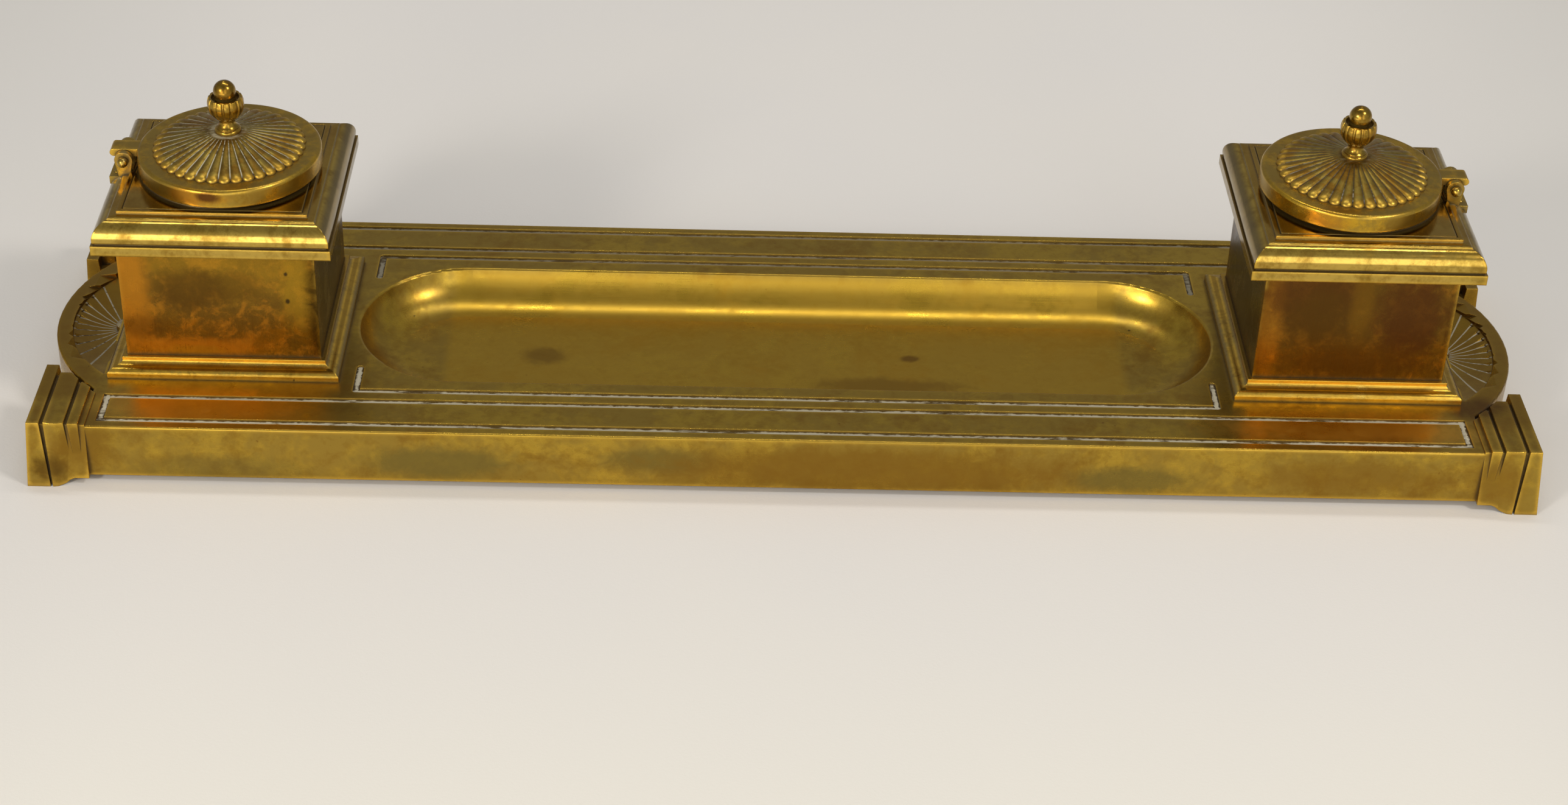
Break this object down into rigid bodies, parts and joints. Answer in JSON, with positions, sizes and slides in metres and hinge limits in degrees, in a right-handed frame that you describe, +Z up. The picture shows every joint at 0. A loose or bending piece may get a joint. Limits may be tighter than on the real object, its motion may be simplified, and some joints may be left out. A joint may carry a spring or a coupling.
{
  "type": "desk inkstand",
  "caption": "Long brass desk inkstand: tray with a dished pen recess, ribbed corner blocks and a square well at each end, closed by round fluted lids on outward-opening hinges.",
  "frame": {"origin": "on the table, under the middle of the tray", "axes": "+X to the right along the tray, +Y to the back, +Z up"},
  "size_m": [0.4042, 0.1134, 0.0921],
  "materials": {
    "cast_brass": "aged, half polished",
    "sheet_brass": "aged, mottled",
    "moulded_brass": "polished on the edges",
    "lid_brass": "polished, worn",
    "fluted_brass": "aged, with pale polish residue in the flutes",
    "finial_brass": "aged",
    "hinge_brass": "aged",
    "plain_brass": "unpolished",
    "cup_glass": "clear",
    "screw_steel": "dull"
  },
  "bodies": {
    "root": {"base_tray": "cast_brass", "left_well_plinth": "moulded_brass", "left_well_body": "sheet_brass", "left_well_cornice": "moulded_brass", "left_well_floor": "plain_brass", "left_hinge_bracket": "hinge_brass", "left_hinge_pin": "hinge_brass", "left_ink_liner": "cup_glass", "right_well_plinth": "moulded_brass", "right_well_body": "sheet_brass", "right_well_cornice": "moulded_brass", "right_well_floor": "plain_brass", "right_hinge_bracket": "hinge_brass", "right_hinge_pin": "hinge_brass", "right_ink_liner": "cup_glass", "well_screws": "screw_steel", "bracket_rivets": "hinge_brass"},
    "left_lid": {"left_lid_disc": "lid_brass", "left_lid_rosette": "fluted_brass", "left_lid_finial": "finial_brass", "left_finial_nut": "plain_brass"},
    "right_lid": {"right_lid_disc": "lid_brass", "right_lid_rosette": "fluted_brass", "right_lid_finial": "finial_brass", "right_finial_nut": "plain_brass"}
  },
  "joints": [
    {"name": "left_lid_hinge", "type": "hinge", "parent": "root", "child": "left_lid", "pos_m": [-0.1786, 0, 0.0695], "axis": [0, -1, 0], "range_deg": [0, 100]},
    {"name": "right_lid_hinge", "type": "hinge", "parent": "root", "child": "right_lid", "pos_m": [0.1786, 0, 0.0695], "axis": [0, 1, 0], "range_deg": [0, 100]}
  ]
}
